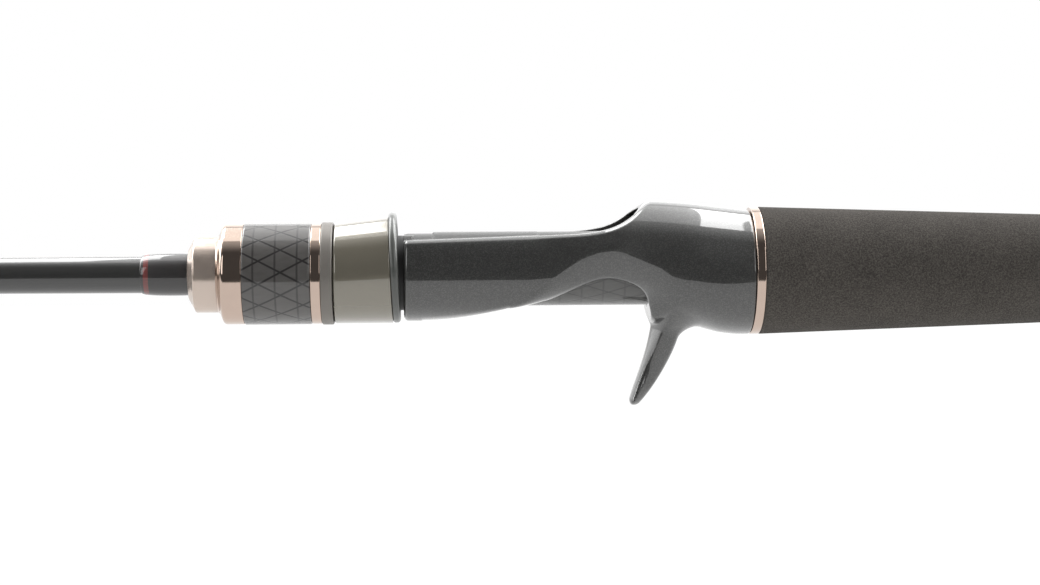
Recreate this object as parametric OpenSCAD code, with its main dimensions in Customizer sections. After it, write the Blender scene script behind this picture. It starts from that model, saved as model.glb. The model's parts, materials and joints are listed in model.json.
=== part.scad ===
// Two-piece casting rod with a trigger reel seat, a screw-down front hood and a split grip.
// The rod lies along X with the tip towards -X and the reel side up. The origin is the middle
// of the reel bed, on its crown, so the rod's own axis runs bed_height below it.

/* [Rod] */
// Overall length, from the butt to the end of the tip blank
rod_length = 1370; // [1300:10:1500]
// Distance from the middle of the reel bed to the butt
butt_reach = 262; // [256:1:290]
// Height of the reel bed's crown above the rod's axis
bed_height = 8.5; // [8.5:0.1:8.9]

/* [Blank] */
// Outside diameter of the blank at the butt
butt_d = 9.6; // [9.3:0.1:9.9]
// Outside diameter of the blank where it enters the ferrule
ferrule_d = 5.8; // [5.4:0.1:6.2]
// Outside diameter of the blank at the tip
tip_d = 1.7; // [1.5:0.1:2]
// Wall of the butt blank
blank_wall = 0.9; // [0.7:0.1:1.2]
// Wall of the tip blank
tip_wall = 0.55; // [0.45:0.05:0.65]
// Length of the blank that goes into the ferrule socket
spigot_length = 55; // [45:1:65]

/* [Front thread wrap] */
// Length of the thread wrap in front of the lock nut's band
wrap_length = 12.5; // [11:0.5:14]
// Build of thread and lacquer on the blank
wrap_build = 0.38; // [0.25:0.01:0.42]
// Width of the coloured trim band
trim_width = 1.1; // [0.8:0.1:1.6]

/* [Lock nut] */
// Outside diameter of the carbon sleeve
nut_d = 21.2; // [20.9:0.1:21.8]
// Outside diameter of the two large metal rings
nut_ring_d = 21; // [20.6:0.1:21.2]
// Outside diameter of the small front collar
collar_d = 16; // [15:0.1:17]
// Length of the small front collar
collar_length = 4.6; // [4:0.1:5.5]
// Length of the cone between the small collar and the large ring
shoulder_length = 1.3; // [1:0.1:1.8]
// Length of the large front ring
front_ring_length = 4.2; // [3.5:0.1:5]
// Length of the carbon sleeve
sleeve_length = 14; // [13:0.1:15.5]
// Length of the metal ring behind the sleeve
nut_ring_length = 2.1; // [1.6:0.1:2.6]
// Length of the thrust washer
washer_length = 2.4; // [2:0.1:3]
// Wall of the threaded core
core_wall = 1.05; // [0.9:0.05:1.15]

/* [Screw thread] */
// Diameter over the thread's crests
thread_d = 16.4; // [16.3:0.05:16.5]
// Depth of the thread
thread_depth = 0.4; // [0.25:0.05:0.45]
// Advance in one turn
thread_pitch = 1.5; // [1.2:0.1:2]

/* [Front hood] */
// Length of the metal shell
hood_length = 11.4; // [10.5:0.1:12.5]
// Outside diameter of the shell at its front
hood_front_d = 20.9; // [20.6:0.1:21.3]
// How far the shell's top rises towards the reel
hood_rise = 1.35; // [1:0.05:1.6]
// Length of the rim that meets the seat
rim_length = 2.75; // [2.4:0.05:3]
// Outside diameter of the rim
rim_d = 23; // [22.8:0.1:23.4]
// Half width of the pocket for the reel foot
hood_pocket_half = 6; // [5.6:0.1:6.2]
// Height of the pocket's mouth above the reel bed
hood_pocket_height = 2.7; // [2.2:0.1:2.8]
// Width of the key that stops the hood from turning
key_width = 3; // [2.4:0.1:3.6]

/* [Reel seat] */
// Distance from the middle of the reel bed to the seat's front face
seat_front = 20.05; // [19.5:0.05:21]
// Distance from the middle of the reel bed to the seat's rear face
seat_rear = 52.3; // [52:0.1:54]
// Diameter of the seat at its front
seat_front_d = 20.1; // [19.8:0.1:20.4]
// Height of the rear hood's top above the rod's axis
rear_hood_height = 14.8; // [14.7:0.1:15.4]
// Half width of the seat at the rear hood
seat_half_width = 13.3; // [13.1:0.1:13.8]
// Diameter of the seat at its rear face
seat_rear_d = 26.2; // [25.9:0.1:26.6]
// Radius of the reel bed's crown
bed_radius = 12; // [11:0.5:14]
// Half width of the reel bed
bed_half = 6.4; // [6:0.1:6.6]
// Height of the pocket for the reel's rear foot
foot_pocket_height = 4.6; // [4.4:0.05:4.7]
// Distance from the middle of the reel bed to the pocket's end wall
foot_pocket_end = 42; // [38:0.5:44]
// Outside diameter of the carbon tube through the seat
seat_tube_d = 14.1; // [13.9:0.1:14.2]
// Wall of the carbon tube
seat_tube_wall = 0.8; // [0.6:0.05:1]

/* [Trigger] */
// Distance from the middle of the reel bed to the trigger's front edge at its root
trigger_front = 31.5; // [31:0.1:32.5]
// How far the trigger's tip lies below the rod's axis
trigger_drop = 28.4; // [26:0.1:30]
// Half width of the trigger at its root
trigger_root_half = 6; // [5:0.1:6.5]
// Half width of the trigger at its tip
trigger_tip_half = 3.8; // [3.2:0.1:4.4]

/* [Grips] */
// Length of the metal ring behind the seat
seat_ring_length = 1.9; // [1.5:0.1:2.4]
// Outside diameter of the metal ring behind the seat
seat_ring_d = 26.7; // [26.7:0.1:27]
// Length of the rear grip
grip_length = 96; // [85:1:104]
// Outside diameter of the rear grip at its front
grip_front_d = 26.7; // [26.4:0.1:27]
// Outside diameter of the rear grip at its back
grip_back_d = 20.6; // [19.5:0.1:22]
// Length of each trim ring on the handle
trim_ring_length = 2; // [1.5:0.1:2.5]
// Length of the butt grip
butt_grip_length = 58; // [50:1:64]
// Outside diameter of the butt grip
butt_grip_d = 25; // [24:0.1:26]
// Length of the butt cap
cap_length = 10; // [8:0.5:12]

/* [Guides] */
// Distance from the middle of the reel bed to the nearest guide
stripper_reach = 284; // [260:1:300]
// Distance from the ferrule to the next guide
ferrule_guide_gap = 59; // [50:1:70]
// Growth of the spacing from one guide to the next, counted from the tip
guide_growth = 1.22; // [1.18:0.01:1.26]
// Ring size of the guide nearest the tip
small_ring_d = 4.6; // [4.2:0.1:5]
// Ring size of the guide nearest the reel
large_ring_d = 7.4; // [6.6:0.1:7.4]
// Thickness of the ceramic ring
ceramic = 0.9; // [0.8:0.05:1.1]
// Thickness of the metal frame
frame_thick = 0.7; // [0.6:0.05:0.9]

/* [Fits] */
// Radial clearance where the nut and the hood run on the thread
running_gap = 0.05; // [0.03:0.01:0.08]
// Radial gap of a glued joint
bond = 0.04; // [0.03:0.01:0.06]
// Gap between parts that move past each other
free_gap = 0.3; // [0.25:0.05:0.35]

/* [Hidden] */
$fn = 96;
eps = 0.01;
GUIDES = 7;
axis_z = -bed_height;

// Stations along the rod
butt_x = butt_reach;
tip_x = butt_reach - rod_length;
ferrule_x = (butt_x + tip_x) / 2;
seat_front_x = -seat_front;
rim_back_x = seat_front_x - free_gap;
rim_front_x = rim_back_x - rim_length;
hood_front_x = rim_front_x - hood_length;
washer_back_x = hood_front_x - free_gap / 2;
washer_front_x = washer_back_x - washer_length;
nut_ring_front_x = washer_front_x - nut_ring_length;
sleeve_front_x = nut_ring_front_x - sleeve_length;
shoulder_back_x = sleeve_front_x - front_ring_length;
shoulder_front_x = shoulder_back_x - shoulder_length;
collar_front_x = shoulder_front_x - collar_length;
nose_x = collar_front_x - collar_d * 0.09;
barrel_front_x = sleeve_front_x - 0.7;
wrap_back_x = nose_x + 3;
wrap_front_x = shoulder_back_x - collar_length - wrap_length;
seat_ring_back_x = seat_rear + seat_ring_length;
tube_back_x = seat_ring_back_x + 4;
grip_back_x = seat_ring_back_x + grip_length;
cap_front_x = butt_x - cap_length;
butt_ring_front_x = cap_front_x - trim_ring_length;
butt_grip_front_x = butt_ring_front_x - butt_grip_length;

// Radii
crest_r = thread_d / 2;
slide_r = crest_r + running_gap;
core_r = slide_r + core_wall;
tube_r = seat_tube_d / 2;
tube_bore_r = tube_r - seat_tube_wall;
collar_bore_r = blank_r(nose_x) + wrap_build + 0.2 + free_gap;
socket_d = ferrule_d + 2 * (running_gap + tip_wall);

function lerp(a, b, t) = a + (b - a) * t;
function blank_r(x) = lerp(butt_d, ferrule_d, (butt_x - x) / (butt_x - ferrule_x)) / 2;
function tip_r(x) = lerp(socket_d, tip_d, (ferrule_x - x) / (ferrule_x - tip_x)) / 2;
function rod_r(x) = x > ferrule_x ? blank_r(x) : tip_r(x);
function bezier(a, b, c, d, n = 12) =
    [for (i = [0:n]) let(t = i / n, s = 1 - t) s*s*s*a + 3*s*s*t*b + 3*s*t*t*c + t*t*t*d];
function arc(c, r, a0, a1, n = 8) =
    [for (i = [0:n]) let(a = lerp(a0, a1, i / n)) c + r * [cos(a), sin(a)]];

// Guide i of GUIDES: its place, ring size and ring height, counted from the tip
function guide_share(i) = (pow(guide_growth, i + 1) - 1) / (pow(guide_growth, GUIDES - 1) - 1);
function guide_x(i) = i < GUIDES - 1 ? lerp(tip_x, ferrule_x - ferrule_guide_gap, guide_share(i)) : -stripper_reach;
function ring_d(i) = lerp(small_ring_d, large_ring_d, i / (GUIDES - 1));
function ring_z(i) = rod_r(guide_x(i)) + ring_d(i) * 0.95 + 1.6;
function foot_length(i) = 7 + ring_d(i) * 0.5;
function foot_lift(i) = rod_r(guide_x(i) + foot_length(i)) + bond;

guide_names = [for (i = [1:GUIDES]) for (part = ["frame", "ring", "wrap"]) str("guide_", i, "_", part)];
handle_names = [
    "butt_blank", "front_wrap", "front_trim_band", "seat_tube", "thread_barrel", "front_arbor",
    "rear_arbor", "seat_body", "seat_ring", "rear_grip", "grip_ring", "butt_grip_ring", "butt_grip",
    "butt_ring", "butt_cap",
];
nut_names = ["nut_front_ring", "nut_core", "nut_sleeve", "nut_rear_ring", "thrust_washer"];
hood_names = ["hood_shell", "hood_rim"];
tip_names = ["tip_blank", "ferrule_wrap", "ferrule_band", "tip_top", "tip_top_ring", "tip_wrap"];

// A solid turned about the rod's axis from an outline of [radius, x] points
module turned(outline) {
    translate([0, 0, axis_z]) rotate([0, 90, 0]) rotate_extrude() polygon(outline);
}

// A plain ring with small chamfers on its outer edges
module ring(x0, x1, bore, r, chamfer = 0.15) {
    turned([[bore, x0], [r - chamfer, x0], [r, x0 + chamfer], [r, x1 - chamfer], [r - chamfer, x1], [bore, x1]]);
}

// A solid cut from an [x, z] outline, z counted from the rod's axis
module side_prism(outline, half) {
    translate([0, 0, axis_z]) rotate([90, 0, 0]) linear_extrude(2 * half, center = true) polygon(outline);
}

// A block in [x, y, z] ranges, z counted from the rod's axis
module block(x, y, z) {
    translate([x[0], y[0], axis_z + z[0]]) cube([x[1] - x[0], y[1] - y[0], z[1] - z[0]]);
}

// A round bar along the rod from x0 to x1, with its centre z above the rod's axis
module bar(x0, x1, r, z = 0) {
    translate([x0, 0, axis_z + z]) rotate([0, 90, 0]) cylinder(h = x1 - x0, r = r);
}

// A round wire from point a to point b
module wire(a, b, d) {
    v = b - a;
    translate(a) rotate([0, acos(v[2] / norm(v)), atan2(v[1], v[0])]) cylinder(h = norm(v), d = d, $fn = 24);
}

// A thread wrap on the blank, ramped at both ends
module thread_wrap(x0, x1, build, ramp = 1.2) {
    turned([
        [rod_r(x0) + bond, x0], [rod_r(x0) + bond + build * 0.25, x0], [rod_r(x0) + build, x0 + ramp],
        [rod_r(x1) + build, x1 - ramp], [rod_r(x1) + bond + build * 0.25, x1], [rod_r(x1) + bond, x1],
    ]);
}

// ---- Handle ----

module butt_blank() {
    x0 = ferrule_x - spigot_length;
    x1 = butt_x - cap_length * 0.4;
    color([0.05, 0.05, 0.05]) turned([
        [blank_r(x0) - blank_wall, x0], [blank_r(x0), x0], [blank_r(x1), x1], [blank_r(x1) - blank_wall, x1],
    ]);
}

// The trim band sits in a groove between two lengths of the wrap's outline
trim_x = wrap_front_x + 0.6;

module front_wrap() {
    flare_x = nose_x - 0.8;
    flare_r = blank_r(flare_x) + wrap_build + 0.2;
    body_x = wrap_front_x + 2.2;
    color([0.07, 0.06, 0.06]) difference() {
        turned([
            [blank_r(wrap_front_x) + bond, wrap_front_x],
            [blank_r(wrap_front_x) + bond + 0.08, wrap_front_x],
            [blank_r(body_x) + wrap_build, body_x],
            [flare_r - 0.2, flare_x - 1],
            [flare_r, flare_x],
            [flare_r, wrap_back_x],
            [blank_r(wrap_back_x) + bond, wrap_back_x],
        ]);
        turned([
            [blank_r(trim_x) + bond + 0.1, trim_x], [blank_r(trim_x) + 1, trim_x],
            [blank_r(trim_x) + 1, trim_x + trim_width], [blank_r(trim_x) + bond + 0.1, trim_x + trim_width],
        ]);
    }
}

module front_trim_band() {
    r0 = blank_r(trim_x) + bond + 0.1;
    color([0.5, 0.12, 0.08]) turned([
        [r0 + bond, trim_x + bond], [r0 + 0.12, trim_x + bond],
        [r0 + 0.3, trim_x + trim_width - bond], [r0 + bond, trim_x + trim_width - bond],
    ]);
}

module seat_tube() {
    color([0.12, 0.12, 0.13]) ring(barrel_front_x, tube_back_x, tube_bore_r, tube_r);
}

// One turn of the thread's outline every pitch, ending in a plain neck at each end
module thread_barrel() {
    neck = 0.8;
    turns = floor((seat_front_x - barrel_front_x - 2 * neck) / thread_pitch);
    root_r = crest_r - thread_depth;
    x0 = barrel_front_x + neck;
    ridges = [for (i = [0:turns - 1]) for (p = [[0.15, 0], [0.4, 1], [0.6, 1], [0.85, 0]])
        [root_r + p[1] * thread_depth, x0 + (i + p[0]) * thread_pitch]];
    color([0.1, 0.1, 0.1]) difference() {
        turned(concat(
            [[tube_r + bond, barrel_front_x], [root_r, barrel_front_x]],
            ridges,
            [[root_r, seat_front_x], [tube_r + bond, seat_front_x]]
        ));
        block([barrel_front_x - 1, seat_front_x + 1], [-key_width / 2 - 0.1, key_width / 2 + 0.1],
            [-crest_r - 1, -root_r + 0.05]);
    }
}

// A glued spacer between the blank and the seat's carbon tube
module arbor(x0, x1) {
    turned([
        [blank_r(x0) + bond, x0], [tube_bore_r - bond, x0], [tube_bore_r - bond, x1], [blank_r(x1) + bond, x1],
    ]);
}

module front_arbor() {
    color([0.5, 0.5, 0.48]) arbor(barrel_front_x + 1, barrel_front_x + 25);
}

module rear_arbor() {
    color([0.5, 0.5, 0.48]) arbor(seat_rear - 30, seat_rear);
}

// Outlines of the seat, in [x, z] with z from the rod's axis, as shares of its length and its radius
seat_r = seat_front_d / 2;
function share(x, z) = [x * trigger_front, z * seat_r];
peak_x = trigger_front + 1.3;
window_belly = bezier([-0.8 * seat_front, -1.01 * seat_r], share(-0.13, -0.95), share(0.11, -0.776),
    share(0.33, -0.567));
window_top = share(0.717, -0.124);
window_rise = bezier(share(0.33, -0.567), share(0.508, -0.318), share(0.603, -0.129), window_top);
window_rear = bezier(window_top, share(0.873, -0.119), share(0.965, -0.358), share(0.965, -0.617));
window = concat(window_belly, window_rise, window_rear,
    [share(1, -1.045), share(1, -3), [-0.8 * seat_front, -3 * seat_r]]);
scoop_start = share(0.444, 0.781);
scoop = bezier(scoop_start, [peak_x - 7.3, scoop_start[1] + 0.35], [peak_x - 6.3, rear_hood_height - 2.4],
    [peak_x - 0.6, rear_hood_height + 0.1]);

// The seat's round outer form: about the rod's axis it follows the top, about a raised axis the belly
module seat_outer() {
    raise = 1.5;
    rear_r = seat_rear_d / 2;
    notch_x = trigger_front + 8.7;
    belly_r = rear_r + raise + 0.2;
    swell = bezier([seat_r, 0.25 - seat_front], [seat_r, share(0.19, 0)[0]], [seat_r + 0.8, share(0.508, 0)[0]],
        [rear_hood_height, peak_x - 0.5]);
    intersection() {
        turned(concat(
            [[0, seat_front_x], [seat_r - 0.25, seat_front_x]], swell,
            [[rear_hood_height, peak_x + 0.6], [rear_hood_height - 0.8, peak_x + 8], [rear_r + 0.1, seat_rear - 3],
                [rear_r - 0.25, seat_rear], [0, seat_rear]]
        ));
        translate([0, 0, raise]) turned([
            [0, seat_front_x - 1], [seat_half_width, seat_front_x - 1], [seat_half_width, notch_x - 1.4],
            [seat_half_width - 0.4, notch_x], [lerp(seat_half_width, belly_r, 0.4), notch_x + 2.8],
            [belly_r - 0.3, seat_rear - 6], [belly_r, seat_rear - 2], [belly_r, seat_rear + 1], [0, seat_rear + 1],
        ]);
    }
}

// One side's finger scoop: a cone that opens outwards past the window's top
module scoop_side(side) {
    flare = tan(60);
    start_y = tube_r * 0.8;
    end_y = tube_r * 2.5;
    hub = share(0.717, -0.955);
    hub_r = window_top[1] - hub[1];
    start_r = hub_r - (tube_r + free_gap - start_y) * flare;
    translate([hub[0], side * start_y, axis_z + hub[1]]) rotate([-90 * side, 0, 0])
        cylinder(h = end_y - start_y, r1 = start_r, r2 = start_r + (end_y - start_y) * flare);
}

// The crowned bed, its front end a shallow step lower
module bed() {
    step_x = -0.69 * seat_front;
    intersection() {
        union() {
            bar(seat_front_x, step_x + eps, bed_radius, bed_height - bed_radius - 0.3);
            bar(step_x, foot_pocket_end + 2, bed_radius, bed_height - bed_radius);
        }
        block([seat_front_x, foot_pocket_end + 1], [-bed_half, bed_half], [bed_height / 2, 2 * bed_height]);
    }
}

// Room for the reel's rear foot, under the rear hood
module foot_pocket() {
    roof_r = 14;
    open_x = share(0.25, 0)[0];
    difference() {
        intersection() {
            bar(open_x, foot_pocket_end, roof_r, bed_height + foot_pocket_height - roof_r);
            block([open_x, foot_pocket_end], [-bed_half - 0.1, bed_half + 0.1], [bed_height / 2, 2 * bed_height]);
        }
        bed();
    }
}

module trigger() {
    tip = -trigger_drop;
    front = bezier([trigger_front, -10.5], [trigger_front + 0.7, -17], [trigger_front - 2.9, tip + 6.4],
        [trigger_front - 4.3, tip + 1.4]);
    end = bezier([trigger_front - 4.3, tip + 1.4], [trigger_front - 4.5, tip + 0.4],
        [trigger_front - 3.1, tip - 0.4], [trigger_front - 2.2, tip + 0.5], 6);
    back = bezier([trigger_front - 2.2, tip + 0.5], [trigger_front + 1.1, tip + 5.2],
        [trigger_front + 3.7, -17.5], [trigger_front + 5.4, -13.6]);
    root = bezier([trigger_front + 5.4, -13.6], [trigger_front + 6.3, -11.9], [trigger_front + 7.5, -11.3],
        [trigger_front + 8.7, -11.2], 6);
    side = bezier([trigger_root_half, -8.5], [trigger_root_half, -16], [trigger_tip_half, -18],
        [trigger_tip_half, tip + trigger_tip_half]);
    tongue = concat(side, arc([0, tip + trigger_tip_half], trigger_tip_half, 0, -90));
    intersection() {
        side_prism(concat(front, end, back, root, [[trigger_front + 8.7, -8.5], [trigger_front, -8.5]]), 10);
        translate([0, 0, axis_z]) rotate([90, 0, 90]) linear_extrude(seat_rear)
            polygon(concat(tongue, [for (i = [len(tongue) - 1:-1:0]) [-tongue[i][0], tongue[i][1]]]));
    }
}

module seat_body() {
    color([0.2, 0.2, 0.21]) union() {
        difference() {
            seat_outer();
            side_prism(concat(
                [[-seat_front - 1, scoop_start[1] - 1.1]], scoop,
                [[peak_x, rear_hood_height + 5], [-seat_front - 1, rear_hood_height + 5]]
            ), 2 * seat_half_width);
            side_prism(window, 2 * seat_half_width);
            for (side = [-1, 1]) scoop_side(side);
            foot_pocket();
            bar(seat_front_x - 1, seat_rear + 1, tube_r + bond);
        }
        difference() {
            bed();
            bar(seat_front_x - 1, seat_rear + 1, tube_r + bond);
        }
        trigger();
    }
}

module seat_ring() {
    color([0.66, 0.52, 0.46]) ring(seat_rear, seat_ring_back_x, tube_r + bond, seat_ring_d / 2, 0.3);
}

module rear_grip() {
    round_r = 1.6;
    back_r = grip_back_d / 2;
    color([0.27, 0.25, 0.24]) turned(concat(
        [[tube_r + bond, seat_ring_back_x], [grip_front_d / 2 - 0.2, seat_ring_back_x],
            [grip_front_d / 2, seat_ring_back_x + 0.3]],
        arc([back_r - round_r, grip_back_x - round_r], round_r, 0, 90),
        [[blank_r(grip_back_x) + bond, grip_back_x], [blank_r(tube_back_x) + bond, tube_back_x + bond],
            [tube_r + bond, tube_back_x + bond]]
    ));
}

module grip_ring() {
    x1 = grip_back_x + trim_ring_length;
    color([0.66, 0.52, 0.46]) turned([
        [blank_r(grip_back_x) + bond, grip_back_x], [grip_back_d / 2 - 1.2, grip_back_x],
        [grip_back_d / 2 - 1.2, grip_back_x + trim_ring_length / 2], [blank_r(x1) + 1.6, x1],
        [blank_r(x1) + bond, x1],
    ]);
}

module butt_grip_ring() {
    x0 = butt_grip_front_x - trim_ring_length;
    color([0.66, 0.52, 0.46]) turned([
        [blank_r(x0) + bond, x0], [blank_r(x0) + 1.6, x0],
        [butt_grip_d / 2 - 2.2, butt_grip_front_x - trim_ring_length / 2],
        [butt_grip_d / 2 - 2.2, butt_grip_front_x], [blank_r(butt_grip_front_x) + bond, butt_grip_front_x],
    ]);
}

module butt_grip() {
    round_r = 2;
    r = butt_grip_d / 2;
    color([0.27, 0.25, 0.24]) turned(concat(
        [[blank_r(butt_grip_front_x) + bond, butt_grip_front_x]],
        arc([r - round_r, butt_grip_front_x + round_r], round_r, -90, 0),
        [[r, butt_ring_front_x], [blank_r(butt_ring_front_x) + bond, butt_ring_front_x]]
    ));
}

module butt_ring() {
    color([0.66, 0.52, 0.46]) ring(butt_ring_front_x, cap_front_x, blank_r(butt_ring_front_x) + bond,
        butt_grip_d / 2 - 0.1, 0.3);
}

module butt_cap() {
    round_r = 4;
    r = butt_grip_d / 2 - 0.3;
    blank_end_x = butt_x - cap_length * 0.4;
    color([0.12, 0.12, 0.12]) turned(concat(
        [[blank_r(cap_front_x) + bond, cap_front_x], [r, cap_front_x]],
        arc([r - round_r, butt_x - round_r], round_r, 0, 90),
        [[0, butt_x], [0, blank_end_x + bond], [blank_r(blank_end_x) + bond, blank_end_x + bond]]
    ));
}

// ---- Lock nut ----

module nut_front_ring() {
    nose_r = collar_bore_r + 0.5;
    color([0.5, 0.42, 0.4]) turned([
        [collar_bore_r, nose_x], [nose_r, nose_x], [collar_d / 2 - 0.4, collar_front_x - 0.3],
        [collar_d / 2, collar_front_x], [collar_d / 2, shoulder_front_x],
        [nut_ring_d / 2 - 0.2, shoulder_back_x - 0.2], [nut_ring_d / 2, shoulder_back_x],
        [nut_ring_d / 2, sleeve_front_x - 0.15], [nut_ring_d / 2 - 0.15, sleeve_front_x],
        [core_r + bond, sleeve_front_x], [core_r + bond, shoulder_back_x - bond],
        [collar_bore_r, shoulder_back_x - bond],
    ]);
}

module nut_core() {
    color([0.13, 0.13, 0.13]) ring(shoulder_back_x, washer_back_x, slide_r, core_r);
}

module nut_sleeve() {
    color([0.24, 0.23, 0.23]) ring(sleeve_front_x, nut_ring_front_x, core_r + bond, nut_d / 2);
}

module nut_rear_ring() {
    color([0.66, 0.52, 0.46]) ring(nut_ring_front_x, washer_front_x, core_r + bond, nut_ring_d / 2, 0.25);
}

module thrust_washer() {
    color([0.47, 0.44, 0.42]) ring(washer_front_x, washer_back_x, core_r + bond, nut_d / 2 + 0.08, 0.25);
}

// ---- Front hood ----

// The reel foot's room in the hood: a sloping arched roof that clears the thread below it
module hood_pocket() {
    roof_r = 10;
    slope = 8;
    mouth_z = bed_height + hood_pocket_height;
    intersection() {
        translate([rim_back_x, 0, axis_z + mouth_z - roof_r]) rotate([0, -90 + slope, 0])
            cylinder(h = 2 * (hood_length + rim_length) - 12, r = roof_r);
        block([hood_front_x + 1.2, rim_back_x + 1], [-hood_pocket_half, hood_pocket_half], [slide_r * 0.6, 16]);
    }
    block([rim_back_x - 0.6, rim_back_x + 1], [-hood_pocket_half, hood_pocket_half],
        [slide_r * 0.6, mouth_z - roof_r + sqrt(pow(roof_r, 2) - pow(hood_pocket_half, 2))]);
}

module hood_shell() {
    front_r = hood_front_d / 2;
    back_r = front_r + hood_rise / 2;
    spare = 2;
    grow = hood_rise / 2 / hood_length * spare;
    tilt = atan(hood_rise / 2 / hood_length);
    color([0.5, 0.48, 0.45]) {
        difference() {
            intersection() {
                translate([hood_front_x - spare, 0, axis_z - grow]) rotate([0, 90 - tilt, 0])
                    cylinder(h = hood_length + 2 * spare, r1 = front_r - grow, r2 = back_r + grow);
                block([hood_front_x, rim_front_x], [-20, 20], [-20, 20]);
            }
            bar(hood_front_x - 1, rim_front_x + 1, slide_r);
            hood_pocket();
        }
        block([hood_front_x, rim_front_x], [-key_width / 2, key_width / 2],
            [-slide_r - 0.3, -slide_r + thread_depth * 0.6]);
    }
}

module hood_rim() {
    edge = min(1.1, rim_length / 2 - 0.1);
    r = rim_d / 2;
    color([0.42, 0.43, 0.42]) difference() {
        translate([0, 0, r - hood_front_d / 2 + 0.05]) turned(concat(
            [[0, rim_front_x]], arc([r - edge, rim_front_x + edge], edge, -90, 0),
            arc([r - edge, rim_back_x - edge], edge, 0, 90), [[0, rim_back_x]]
        ));
        bar(rim_front_x - 1, rim_back_x + 1, slide_r);
        hood_pocket();
    }
}

// ---- Tip section ----

module tip_blank() {
    socket_end_x = ferrule_x - spigot_length - 4;
    hollow_end_x = lerp(ferrule_x, tip_x, 0.6);
    color([0.05, 0.05, 0.05]) turned([
        [blank_r(ferrule_x) + running_gap, ferrule_x], [tip_r(ferrule_x), ferrule_x], [tip_r(tip_x), tip_x],
        [0, tip_x], [0, hollow_end_x], [tip_r(hollow_end_x) - tip_wall, hollow_end_x],
        [blank_r(socket_end_x) + running_gap, socket_end_x],
    ]);
}

module ferrule_wrap() {
    color([0.07, 0.06, 0.06]) thread_wrap(ferrule_x - 12, ferrule_x - 0.5, 0.45);
}

module ferrule_band() {
    color([0.66, 0.52, 0.46]) thread_wrap(ferrule_x - 15.2, ferrule_x - 12.2, 0.3, 0.3);
}

module tip_top() {
    x0 = tip_x - 0.6;
    x1 = tip_x + 9;
    tube = tip_r(x1) + bond + 0.4;
    z = small_ring_d / 2 + tube + 0.9;
    ring_r = small_ring_d / 2;
    color([0.3, 0.3, 0.31]) difference() {
        union() {
            turned([
                [0, x0], [tube, x0], [tube, x1], [tip_r(x1) + bond, x1], [tip_r(tip_x) + bond, tip_x - bond],
                [0, tip_x - bond],
            ]);
            bar(x0 - 0.5, x0 + 0.5, ring_r + frame_thick, z);
            for (side = [-1, 1]) wire([x0, side * (ring_r + frame_thick / 2) * 0.8, axis_z + z - ring_r * 0.65],
                [x1 - 2.5, side * tube * 0.5, axis_z + tube * 0.8], frame_thick);
            wire([x0, 0, axis_z + tube * 0.3], [x0, 0, axis_z + z - ring_r - frame_thick / 2], frame_thick);
        }
        bar(x0 - 1, x0 + 1, ring_r + bond, z);
    }
}

module tip_top_ring() {
    x0 = tip_x - 0.6;
    tube = tip_r(tip_x + 9) + bond + 0.4;
    color([0.14, 0.14, 0.16]) translate([0, 0, small_ring_d / 2 + tube + 0.9]) ceramic_ring(x0, small_ring_d);
}

module tip_wrap() {
    color([0.07, 0.06, 0.06]) thread_wrap(tip_x + 9.2, tip_x + 15, 0.4);
}

// A ceramic line ring whose bore is rounded towards the line
module ceramic_ring(x, d) {
    round_r = ceramic / 2;
    turned(concat(
        [[d / 2, x - round_r]], [[d / 2, x + round_r]],
        arc([d / 2 - round_r, x], round_r, 90, 270, 10)
    ));
}

// ---- Guides ----

// A stamped frame: ring, two legs down to the foot on the reel side and a brace on the tip side
module guide_frame(i) {
    x = guide_x(i);
    z = ring_z(i);
    ring_r = ring_d(i) / 2;
    foot_x = x + foot_length(i);
    foot_z = foot_lift(i);
    color([0.3, 0.3, 0.31]) difference() {
        union() {
            bar(x - 0.6, x + 0.6, ring_r + frame_thick, z);
            block([x + 1.5, foot_x], [-0.9, 0.9], [foot_z, foot_z + 0.5]);
            for (side = [-1, 1]) wire([x, side * (ring_r + frame_thick / 2) * 0.86, axis_z + z - ring_r * 0.55],
                [x + 3.5, side * 0.5, axis_z + foot_z + 0.25], frame_thick);
            wire([x, 0, axis_z + z - ring_r - frame_thick / 2], [x + 2.2, 0, axis_z + foot_z + 0.25], frame_thick);
        }
        bar(x - 2, x + 1.4, ring_r + bond, z);
    }
}

module guide_ring(i) {
    color([0.14, 0.14, 0.16]) translate([0, 0, ring_z(i)]) ceramic_ring(guide_x(i), ring_d(i));
}

// The thread wrap over the foot, with a slot where the foot lies
module guide_wrap(i) {
    x0 = guide_x(i) + 4.6;
    x1 = guide_x(i) + foot_length(i) + 3;
    foot_z = foot_lift(i);
    color([0.07, 0.06, 0.06]) difference() {
        thread_wrap(x0, x1, 0.95, 1.4);
        block([x0 - 1, guide_x(i) + foot_length(i) + bond], [-0.9 - bond, 0.9 + bond], [0, foot_z + 0.5 + bond]);
    }
}

butt_blank();
front_wrap();
front_trim_band();
seat_tube();
thread_barrel();
front_arbor();
rear_arbor();
seat_body();
seat_ring();
rear_grip();
grip_ring();
butt_grip_ring();
butt_grip();
butt_ring();
butt_cap();
nut_front_ring();
nut_core();
nut_sleeve();
nut_rear_ring();
thrust_washer();
hood_shell();
hood_rim();
tip_blank();
ferrule_wrap();
ferrule_band();
tip_top();
tip_top_ring();
tip_wrap();
for (i = [0:GUIDES - 1]) {
    guide_frame(i);
    guide_ring(i);
    guide_wrap(i);
}
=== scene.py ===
"""The looks of a two-piece casting rod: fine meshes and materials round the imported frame.

Lengths in the mesh code are millimetres. X counts from the middle of the reel bed and Y and Z from
the rod's own axis, and build() turns them into the frame's metres.
"""

import json
import math
from functools import lru_cache

import bpy
import numpy as np
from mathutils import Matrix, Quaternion, Vector


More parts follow.
